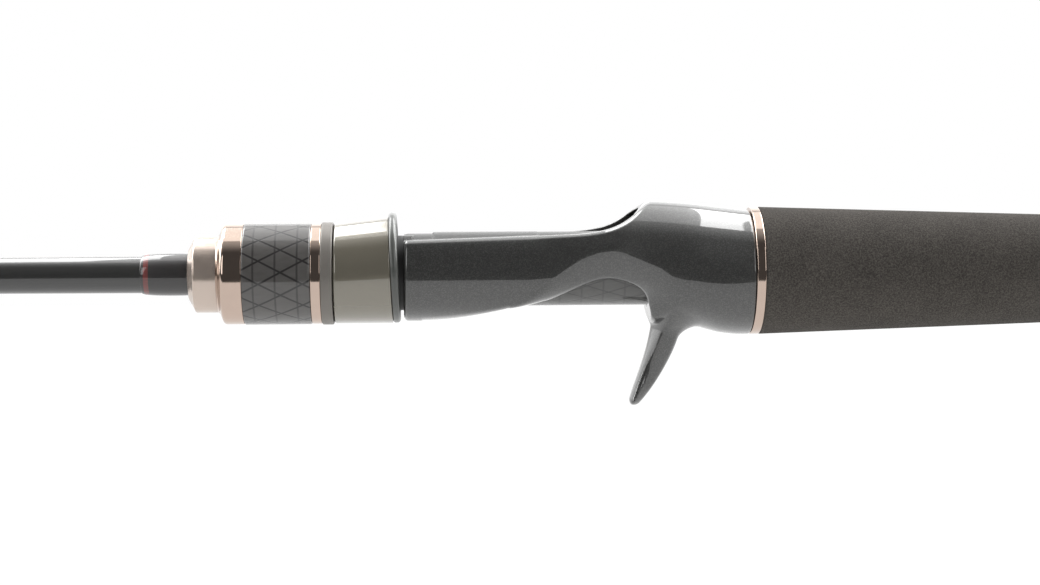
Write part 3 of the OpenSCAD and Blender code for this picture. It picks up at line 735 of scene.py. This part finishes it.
# the window in the side view, the curve that bounds the seat's rim, and the trigger
WINDOW_TOP = (22.6, -1.25)
window_belly = bezier((-16, -10.2), (-4, -9.6), (3.5, -7.8), (10.4, -5.7))
window_rise = bezier((10.4, -5.7), (16, -3.2), (19, -1.3), WINDOW_TOP)
window_rear = bezier(WINDOW_TOP, (27.5, -1.2), (30.2, -3.6), (30.5, -6.2))
window_foot = bezier((30.5, -6.2), (31.1, -8.4), (31.6, -11), (31.2, -15))
window = window_belly + window_rise[1:] + window_rear[1:-1] + window_foot + [(31.2, -30), (-16, -30)]
rim_curve = (
    [(-30, 6.95), (-19, 7.1), (-10.5, 7.35), (8, 7.9)]
    + bezier((14, 8.1), (25, 8.5), (26, 11.0), (PEAK_X, PEAK_Z + 0.2))
    + [(PEAK_X + 3, 25), (-30, 25)]
)
trigger_outline = (
    bezier((31.4, -6), (31.5, -15.5), (28.0, -22), (26.6, TRIGGER_TIP + 1.2), 20)
    + bezier((26.6, TRIGGER_TIP + 1.2), (26.5, TRIGGER_TIP - 0.1), (27.8, TRIGGER_TIP - 0.3),
             (28.7, TRIGGER_TIP + 0.5), 6)[1:]
    + bezier((28.7, TRIGGER_TIP + 0.5), (32.6, TRIGGER_TIP + 4.6), (35.9, -18.0), (37.0, -14), 16)[1:]
    + bezier((37.0, -14), (37.6, -12), (38.6, -10), (39.5, -7), 8)[1:]
)

# the seat's outer form at places along it: x, top, belly and half width
SEAT_SECTIONS = (
    (-20, 10.05, -10.05, 10.05),
    (5, 10.3, -10.2, 10.1),
    (12, 12.2, -10.6, 10.3),
    (18, 14.0, -11, 10.75),
    (24, 14.7, -11.3, 11.7),
    (PEAK_X, PEAK_Z, -11.5, 12.9),
    (PEAK_X + 2, PEAK_Z - 0.05, -11.5, 13.1),
    (38, 14.43, -11.3, 13.3),
    (40.2, 14.21, -11.45, 13.3),
    (43, 13.88, -12.15, 13.25),
    (46.2, 13.46, -12.95, 13.2),
    (50.4, 12.93, -13.35, 13.1),
    (53, 12.63, -13.35, 13.05),
)


def round_tube(x, y, z):
    """The seat's outer form: squarer on top towards the front, and with upright sides at the rear."""
    at, tops, bellies, halves = zip(*SEAT_SECTIONS, strict=True)
    top, belly, half = (through(at, values, x) for values in (tops, bellies, halves))
    mid = (top + belly) / 2
    # how far the upright sides reach below the middle
    low = mid + through((33, 35, 38, 41, 46, 51), (0, -0.8, -1.7, -1.8, -1.1, -0.1), x)
    tall = np.where(z > mid, top - mid, low - belly)
    power = 2 + 0.7 * steps_between(z - mid, 0, 4) * steps_between(-x, -28, -8)
    wide, high = np.abs(y) / half, np.maximum(np.maximum(z - mid, low - z), 0) / tall
    k = np.maximum((wide**power + high**power) ** (1 / power), 1e-3)
    slope = np.hypot(wide ** (power - 1) / half, high ** (power - 1) / tall) * k ** (1 - power)
    return (k - 1) / np.maximum(slope, 1e-3)


def scooped(form, opening, rim_z, x, y, z):
    """The form cut by the window, and by a finger scoop that leans out and up from the window's rim."""
    # the scoop starts close round the carbon tube, and further out towards the rear
    rim_y = np.sqrt(np.maximum((tube_r + 0.9) ** 2 - rim_z**2, 0))
    rear_y = 9.2 - steps_between(-z, 1, 5) + 4.3 * steps_between(-z, 5.5, 11)
    rim_y = rim_y + steps_between(x, 23, 28) * (rear_y - rim_y)
    lean = np.radians(8 + 35 * steps_between(x, 2, 23) - 15 * steps_between(x, 24, 31))
    scoop = np.cos(lean) * opening + np.sin(lean) * (np.abs(y) - rim_y)
    form = meet(form, scoop, 0.6 + 3.2 * steps_between(x, 3, 16))
    soft = 0.35 + 0.7 * steps_between(x, -14, 2) * steps_between(-x, -27, -20)
    soft = soft + 2 * steps_between(x, 29, 31) * steps_between(-z, 8.5, 12)
    return meet(form, opening + 0 * x, soft)


def trigger(x, side, z):
    """The blade, hollow in front, narrower towards its tip, its back and its front's upper end."""
    behind = x - TRIGGER_LINE[0] - (z - TRIGGER_LINE[1]) * TRIGGER_LEAN
    flare = TRIGGER_FLARE * steps_between(z, -23, -9)
    half = TRIGGER_HALF + flare * (1.45 * steps_between(behind, -2.8, -0.2) - 0.45)
    depth = TRIGGER_HOLLOW * (1 - np.minimum(side / half, 1) ** 2)
    hollowed = x - depth * steps_between(-behind, -4, 0)
    outline = -inside_distance(trigger_outline, hollowed, z)[0]
    flank = side - half + 1.7 * steps_between(behind, -2, 5)
    return meet(outline, flank, 3.4 - 2.1 * steps_between(behind, -0.5, 3))


def reel_bed(x, y, z):
    """The crowned bed, with a small step down in front."""
    drop = np.where(x < BED_STEP_X, BED_STEP, 0.0)
    bed = np.hypot(y, z - (BED_HEIGHT - BED_RADIUS)) - BED_RADIUS + drop
    bed = meet(bed, np.abs(y) - BED_HALF, 0.3)
    return np.maximum(np.maximum(bed, 4 - z), x - POCKET_END - 1)


def foot_pocket(x, y, z):
    """Room under the rear hood for the rear end of the reel's foot."""
    roof = np.hypot(y, z - (BED_HEIGHT + POCKET_HEIGHT - POCKET_ROOF_R)) - POCKET_ROOF_R
    across = np.maximum(roof, np.abs(y) - BED_HALF - 0.1)
    return np.maximum(np.maximum(across, np.maximum(POCKET_FRONT - x, x - POCKET_END)), 5 - z)


def seat_field(x, y, z):
    """The reel seat, negative inside."""
    # on a full grid the outlines are the same at every y, so one layer of it is enough
    layer_x, layer_z = (x[:, :1, :], z[:, :1, :]) if x.ndim == 3 else (x, z)
    opening, rim_z = inside_distance(window, layer_x, layer_z)
    form = scooped(round_tube(x, y, z), opening, rim_z, x, y, z)
    side = np.abs(y)
    # the trigger is worked out only round its own place, and its root spreads towards the rear
    near = (x > 20) & (x < 45) & (z < -4) & (side < 12)
    blade = np.full(x.shape, 6.0)
    blade[near] = trigger(x[near], side[near], z[near])
    root = 0.9 + (1.7 + 2 * steps_between(z, -16, -9)) * steps_between(x, 31.5, 36)
    form = join(form, blade, root)
    above_rim = inside_distance(rim_curve, layer_x, layer_z)[0]
    form = meet(form, above_rim + 0 * x, RIM_EDGE)
    bed = reel_bed(x, y, z)
    form = meet(np.minimum(form, bed), seat_front - x, FRONT_EDGE)
    neck = np.maximum(np.hypot(y, z) - NECK_R, np.maximum(seat_front - NECK_LENGTH - x, x - seat_front - 2))
    form = np.minimum(form, np.maximum(neck, z - NECK_TOP))
    form = meet(form, x - seat_rear, EDGE)
    form = meet(form, -np.maximum(foot_pocket(x, y, z), -bed), SLIT)
    return meet(form, bore_r - np.hypot(y, z), SLIT)


def make_seat():
    step = 0.36 if FINE else 0.6
    points, faces, normals = skin(seat_field, (seat_front, -13.6, -29), (seat_rear, 13.6, 15.2), step)
    build("reel_seat", points, faces, "handle", "seat_grey", ["seat_body"], normals)


# ---- Hood ----

hood_front, hood_back = ends("hood_shell")
rim_front, rim_back = ends("hood_rim")
slide_r = 8.25  # the bore of all that slides or turns on the barrel
HOOD_FRONT_R = 10.45
HOOD_RISE = 1.35
HOOD_LEAN = 0.0365
HOOD_POCKET_HALF = 6.0
HOOD_POCKET_HEIGHT = 2.7
HOOD_POCKET_ROOF_R = 10.0
HOOD_POCKET_FALL = math.tan(math.radians(8))
RIM_LIP = -22.7  # where the rim meets the shell, on the axis
RIM_WIDTH = 1.62


def hood_pocket(x, y, z):
    """Room for the reel's foot, under a sloping arched roof."""
    mouth = BED_HEIGHT + HOOD_POCKET_HEIGHT - np.maximum(HOOD_POCKET_FALL * (rim_back - x), 0)
    roof = np.hypot(y, z - (mouth - HOOD_POCKET_ROOF_R)) - HOOD_POCKET_ROOF_R
    pocket = np.maximum(roof, np.abs(y) - HOOD_POCKET_HALF)
    return np.maximum(pocket, np.maximum(hood_front + 1.2 - x, 4 - z))


def hood_hollow(x, y, z):
    """The hood's bore with the pocket above it."""
    return np.minimum(np.hypot(y, z) - slide_r, hood_pocket(x, y, z))


def leaned(x, z):
    """The hood's rear end leans forward at the top."""
    return x + HOOD_LEAN * z


def hood_field(x, y, z):
    """The bright shell, which rises towards the reel."""
    share = (x - hood_front) / (hood_back - hood_front)
    rise = HOOD_RISE / 2 * share
    form = np.hypot(y, z - rise) - (HOOD_FRONT_R + rise)
    form = meet(form, hood_front - x, 0.5)
    form = meet(form, leaned(x, z) - RIM_LIP, 0.25)
    return meet(form, -hood_hollow(x, y, z), 0.2)


def rim_field(x, y, z):
    """The rounded rim behind the shell."""
    form = np.hypot(y, z - middle("hood_rim", 2) / MM + AXIS_Z / MM) - radius("hood_rim")
    form = meet(form, RIM_LIP - leaned(x, z) + 0.02, 0.55)
    form = meet(form, leaned(x, z) - RIM_LIP - RIM_WIDTH, 0.8)
    return meet(form, -hood_hollow(x, y, z), 0.25)


def make_hood():
    step = 0.22 if FINE else 0.4
    points, faces, normals = skin(hood_field, (hood_front, -12, -11), (hood_back + 1, 12, 12.3), step)
    build("hood", points, faces, "hood", "gunmetal", ["hood_shell"], normals)
    points, faces, normals = skin(rim_field, (rim_front, -12, -11), (rim_back, 12, 13), step * 0.8)
    build("hood_flange", points, faces, "hood", "rim_grey", ["hood_rim"], normals)


# ---- Turned pieces and guides ----

FERRULE_R = 5.8 / 2  # the butt blank at the front end of its exposed part
BLANK_WALL = 0.9
TUBE_WALL = 0.8
CORE_WALL = 1.1
COLLAR_R = 8.0
COLLAR_NOSE = 0.18  # the nose's length over the collar's radius
GRIP_BACK_R = 10.3
LACQUER = 0.52  # how far the front wrap's lacquer bulges
TIP_R = 1.2 / 2
FEW_TURNS = 96  # sides of a thin turned piece
tip_end, ferrule_x = ends("tip_blank")


def blank_r(x):
    """The butt blank's radius, straight from the ferrule to the butt."""
    butt = ends("butt_blank")[1]
    return FERRULE_R + (radius("butt_blank") - FERRULE_R) * (x - ferrule_x) / (butt - ferrule_x)


def tip_r(x):
    """The tip section's radius, straight from its socket to its tip."""
    return TIP_R + (radius("tip_blank") - TIP_R) * (x - tip_end) / (ferrule_x - tip_end)


def rod_r(x):
    """The rod's radius with its two sections put together."""
    return blank_r(x) if x > ferrule_x else tip_r(x)


def ring(name, node, body, slot, bore, soft=0.3, look=None):
    """A plain ring with rounded outer edges. The bore is a radius, or a function of x."""
    x0, x1 = ends(node)
    r = radius(node)
    bores = [bore(x) if callable(bore) else bore for x in (x0, x1)]
    lathe(name, [(x0, bores[0]), (x0, r, soft), (x1, r, soft), (x1, bores[1])], body, slot, [node], look=look)


def make_nut():
    """The lock nut: a satin collar and a bright ring in front, then its sleeve, ring, washer and core."""
    x0, x1 = ends("nut_front_ring")
    r = radius("nut_front_ring")
    collar_front = x0 + COLLAR_R * COLLAR_NOSE
    collar_back = x1 - 5.5
    ring_front = collar_back + 1.3
    nose_r = blank_r(x0) + 1.4
    core_r = slide_r + CORE_WALL
    lathe("nut_collar", [
        (x0 + 0.9, nose_r - 0.5), (x0, nose_r, 0.2), (collar_front - 0.35, COLLAR_R - 0.75, 0.5),
        (collar_front, COLLAR_R, 0.45), (collar_back + 0.2, COLLAR_R), (collar_back + 0.2, nose_r - 0.5),
    ], "lock_nut", "rose_metal", ["nut_front_ring"], look="rose_satin")
    lathe("nut_front_band", [
        (collar_back + 0.05, nose_r), (collar_back + 0.05, COLLAR_R + 0.02, 0.1),
        (collar_back + 0.5, COLLAR_R + 0.5, 0.5), (ring_front, r, 0.9), (x1, r, 0.12),
        (x1, core_r), (ring_front, core_r), (ring_front, nose_r),
    ], "lock_nut", "rose_metal", ["nut_front_ring"])
    ring("nut_sleeve_carbon", "nut_sleeve", "lock_nut", "carbon_weave", core_r, 0.35)
    ring("nut_rear_band", "nut_rear_ring", "lock_nut", "rose_metal", core_r, 0.22)
    ring("nut_washer", "thrust_washer", "lock_nut", "taupe_matte", core_r)
    ring("nut_core_tube", "nut_core", "lock_nut", "nylon_black", slide_r, 0.1)


def make_front_wrap():
    """Thread under a bulging lacquer in front of the nut, and its coloured band."""
    start, end = ends("front_wrap")

    def surface(x, more=0.0):
        off_middle = abs(2 * (x - start) / (end - start) - 1)
        return x, blank_r(x) + BOND + more + LACQUER * (1 - off_middle**2.5) ** 0.55

    # closer together at both ends, where the lacquer curves most
    shares = [(1 - math.cos(math.pi * i / 36)) / 2 for i in range(37)]
    outline = [surface(start + (end - start) * share) for share in shares]
    lathe("front_winding", [(start, blank_r(start) - 0.05), *outline, (end, blank_r(end) - 0.05)],
          "handle", "thread", ["front_wrap"], FEW_TURNS)
    b0, b1 = ends("front_trim_band")
    outline = [surface(b0 + (b1 - b0) * i / 5, 0.012) for i in range(6)]
    lathe("front_winding_band", [(b0, blank_r(b0)), *outline, (b1, blank_r(b1))],
          "handle", "trim_thread", ["front_trim_band"], FEW_TURNS)


def make_handle():
    """The blank, the front wrap, and the turned pieces from the seat back to the rear grip."""
    x0, x1 = ends("butt_blank")
    lathe("butt_section_blank", [
        (x0, blank_r(x0) - BLANK_WALL), (x0, blank_r(x0), 0.1),
        (x1, blank_r(x1), 0.1), (x1, blank_r(x1) - BLANK_WALL),
    ], "handle", "carbon_blank", ["butt_blank"], FEW_TURNS)
    make_front_wrap()
    ring("seat_tube_carbon", "seat_tube", "handle", "carbon_weave", tube_r - TUBE_WALL, 0.2, "carbon_tube")
    ring("seat_end_ring", "seat_ring", "handle", "rose_metal", bore_r, 0.25)
    x0, x1 = ends("rear_grip")
    lathe("rear_grip_foam", [
        (x0, bore_r), (x0, radius("rear_grip"), 0.35), (x1, GRIP_BACK_R, 1.8), (x1, blank_r(x1)),
    ], "handle", "eva", ["rear_grip"])


def make_butt():
    """The rings of the split grip, the butt grip and its cap."""
    for name, node in (("grip_end_ring", "grip_ring"), ("butt_grip_front_ring", "butt_grip_ring"),
                       ("butt_grip_rear_ring", "butt_ring")):
        ring(name, node, "handle", "rose_metal", blank_r)
    x0, x1 = ends("butt_grip")
    r = radius("butt_grip")
    lathe("butt_grip_foam", [
        (x0, blank_r(x0)), (x0, r - 1.6, 0.8), (x0 + 16, r - 0.5, 12), (x1 - 8, r, 10),
        (x1, r - 0.25, 0.4), (x1, blank_r(x1)),
    ], "handle", "eva", ["butt_grip"])
    x0, x1 = ends("butt_cap")
    r = radius("butt_cap")
    lathe("butt_end_cap", [
        (x0, blank_r(x0) - 0.2), (x0, r - 0.1, 0.3), (x0 + 3, r, 2), (x1 - 1.4, r - 0.25, 1.6),
        (x1, r - 3.2, 1.5), (x1 - 0.7, r - 5, 1.2), (x1 - 0.7, 0), (x1 - 3, 0),
    ], "handle", "butt_rubber", ["butt_cap"])


def winding(name, node, body, slot, under, thick, hump=0.0, ramp=1.3):
    """Thread turns on the blank, ramped at both ends, with a hump where they cover a guide's foot."""
    x0, x1 = ends(node)

    def over_foot(x, r, a):
        if r < under(x) + 0.02:
            return 0.0
        # it rises steeply at the guide's end and falls where the foot runs out
        share = min(1.0, (x - x0) / 0.8 + 0.2) * max(0.0, min(1.0, (x1 - 1.2 - x) / 3.2))
        aside = (a - TAU / 4) * r / 1.05
        return hump * share * math.exp(-(aside**2))

    def on_top(x, *soft):
        return x, under(x) + thick, *soft

    steps = 12 if hump else 1
    inner = [on_top(x0 + ramp + (x1 - x0 - 2 * ramp) * i / steps) for i in range(1, steps)]
    lathe(name, [
        (x0, under(x0) - 0.03), (x0, under(x0) + thick * 0.4, 0.1), on_top(x0 + ramp, 0.8), *inner,
        on_top(x1 - ramp, 0.8), (x1, under(x1) + thick * 0.4, 0.1), (x1, under(x1) - 0.03),
    ], body, slot, [node], FEW_TURNS, bulge=over_foot if hump else None)


def capsule(x, y, z, a, b, r):
    """Distance to a rod with round ends."""
    a, b = np.array(a, float), np.array(b, float)
    along = b - a
    share = ((x - a[0]) * along[0] + (y - a[1]) * along[1] + (z - a[2]) * along[2]) / (along @ along)
    share = np.clip(share, 0, 1)
    return np.sqrt(sum((p - q - share * d) ** 2 for p, q, d in zip((x, y, z), a, along, strict=True))) - r


def ring_place(node):
    """A ring's middle along the rod and above its axis, and its outer radius."""
    return middle(node, 0) / MM, (middle(node, 2) - AXIS_Z) / MM, radius(node)


def ceramic_ring(name, node, body):
    """A rounded ring whose bore flares towards both faces."""
    x0, x1 = ends(node)
    _, centre_z, r = ring_place(node)
    wall = 0.9
    x = (x0 + x1) / 2
    lathe(name, [
        (x0, r), (x0 + 0.1, r - 0.3, 0.1), (x - 0.06, r - wall, 0.28), (x + 0.06, r - wall, 0.28),
        (x1 - 0.1, r - 0.3, 0.1), (x1, r),
    ], body, "ceramic", [node], turns=72, centre_z=centre_z, steps=6)


def make_guide(i, body):
    """A stamped frame round its ring, on a foot bound down with thread."""
    frame_node, ring_node, wrap_node = (f"guide_{i}_{part}" for part in ("frame", "ring", "wrap"))
    ceramic_ring(f"guide_{i}_insert", ring_node, body)
    x, z, r = ring_place(ring_node)
    wire = radius(frame_node) - r
    leg_r, brace_r = 0.36, 0.34
    foot_x = ends(frame_node)[1]
    foot_z = rod_r(foot_x) + BOND

    def frame_field(px, py, pz):
        from_ring = np.hypot(py, pz - z)
        form = meet(np.abs(from_ring - r - wire / 2) - wire / 2, np.abs(px - x) - 0.6, 0.16)
        for side in (-1, 1):
            leg = capsule(px, py, pz, (x + 0.1, side * (r + wire / 2) * 0.88, z - r * 0.5),
                          (x + 3.6, side * 0.45, foot_z + 0.3), leg_r)
            form = join(form, leg, 0.5)
        brace = capsule(px, py, pz, (x, 0, z - r - wire / 2), (x + 2.4, 0, foot_z + 0.3), brace_r)
        form = join(form, brace, 0.4)
        # the foot gets thinner and narrower towards its end
        half_thick = (0.24 * (1 - steps_between(px, foot_x - 4, foot_x)) + 0.26) / 2
        half_wide = 0.9 - 0.5 * steps_between(px, foot_x - 3, foot_x)
        foot = meet(np.abs(pz - foot_z - half_thick) - half_thick, np.abs(py) - half_wide, 0.12)
        foot = meet(foot, x + 1.8 - px, 0.15)
        foot = meet(foot, px - foot_x, 0.1)
        form = join(form, foot, 0.35)
        form = meet(form, r - from_ring, 0.03)
        return np.maximum(form, foot_z - 0.02 - pz)

    step = 0.17 if FINE else 0.3
    points, faces, normals = skin(frame_field, (x - 0.7, -r - wire - 0.1, foot_z - 0.2),
                                  (foot_x, r + wire + 0.1, z + r + wire + 0.1), step)
    build(f"guide_{i}_stamping", points, faces, body, "guide_metal", [frame_node], normals)
    winding(f"guide_{i}_winding", wrap_node, body, "thread", rod_r, 0.42, 0.5)


def make_tip():
    """The tip section with its ferrule socket, its windings and the tip-top."""
    body = "tip_section"
    spigot = ends("butt_blank")[0]
    socket_end = spigot - 2
    slack = 0.05
    lathe("tip_section_blank", [
        (tip_end, 0), (tip_end, tip_r(tip_end), 0.1), (ferrule_x, tip_r(ferrule_x), 0.15),
        (ferrule_x, blank_r(ferrule_x) + slack), (socket_end, blank_r(socket_end) + slack), (socket_end, 0),
    ], body, "carbon_blank", ["tip_blank"], FEW_TURNS)
    winding("ferrule_winding", "ferrule_wrap", body, "thread", tip_r, 0.45)
    winding("ferrule_metal_band", "ferrule_band", body, "rose_metal", tip_r, 0.3, ramp=0.4)
    winding("tip_winding", "tip_wrap", body, "thread", tip_r, 0.4)
    ceramic_ring("tip_top_insert", "tip_top_ring", body)
    x0, z, r = ring_place("tip_top_ring")
    x1 = ends("tip_top")[1]
    tube = -(box("tip_top")[0].z - AXIS_Z) / MM
    wire = 0.7
    leg_r, brace_r = 0.33, 0.34

    def field(px, py, pz):
        from_ring = np.hypot(py, pz - z)
        sleeve = meet(np.hypot(py, pz) - tube, px - x1, 0.15)
        form = meet(sleeve, x0 - px, 0.35)
        band = meet(np.abs(from_ring - r - wire / 2) - wire / 2, np.abs(px - x0) - 0.46, 0.16)
        form = join(form, band, 0.3)
        for side in (-1, 1):
            leg = capsule(px, py, pz, (x0 + 0.1, side * (r + wire / 2) * 0.82, z - r * 0.6),
                          (x1 - 2.5, side * tube * 0.5, tube * 0.75), leg_r)
            form = join(form, leg, 0.45)
        brace = capsule(px, py, pz, (x0 + 0.1, 0, 0.3), (x0 + 0.1, 0, z - r - wire / 2), brace_r)
        form = join(form, brace, 0.4)
        form = meet(form, r - from_ring, 0.03)
        hollow = np.maximum(np.hypot(py, pz) - tip_r(x1) - BOND, tip_end - px)
        return np.maximum(form, -hollow)

    step = 0.15 if FINE else 0.3
    points, faces, normals = skin(field, (x0 - 0.6, -r - wire - 0.1, -tube - 0.1),
                                  (x1, r + wire + 0.1, z + r + wire + 0.1), step)
    build("tip_top_frame", points, faces, body, "guide_metal", ["tip_top"], normals)


bpy.context.scene.view_settings.view_transform = "Standard"
make_camera()
make_world()
make_floor()
make_lamp("softbox_front", (-700.0, -60.0), LAMP_DEPTH, LAMP_LEVEL)
make_lamp("softbox_rear", (150.0, 700.0), LAMP_DEPTH, LAMP_LEVEL)
materials = make_materials()
make_seat()
make_hood()
make_nut()
make_handle()
make_butt()
make_tip()
for number in range(1, 8):
    # the last one is behind the ferrule
    make_guide(number, "handle" if number == 7 else "tip_section")

slots = {entry["node"]: entry["material_slot"] for entry in frame["record"]["subparts"]}
for node, piece in frame["nodes"].items():
    for holder in piece.material_slots:
        holder.material = materials[slots[node]]
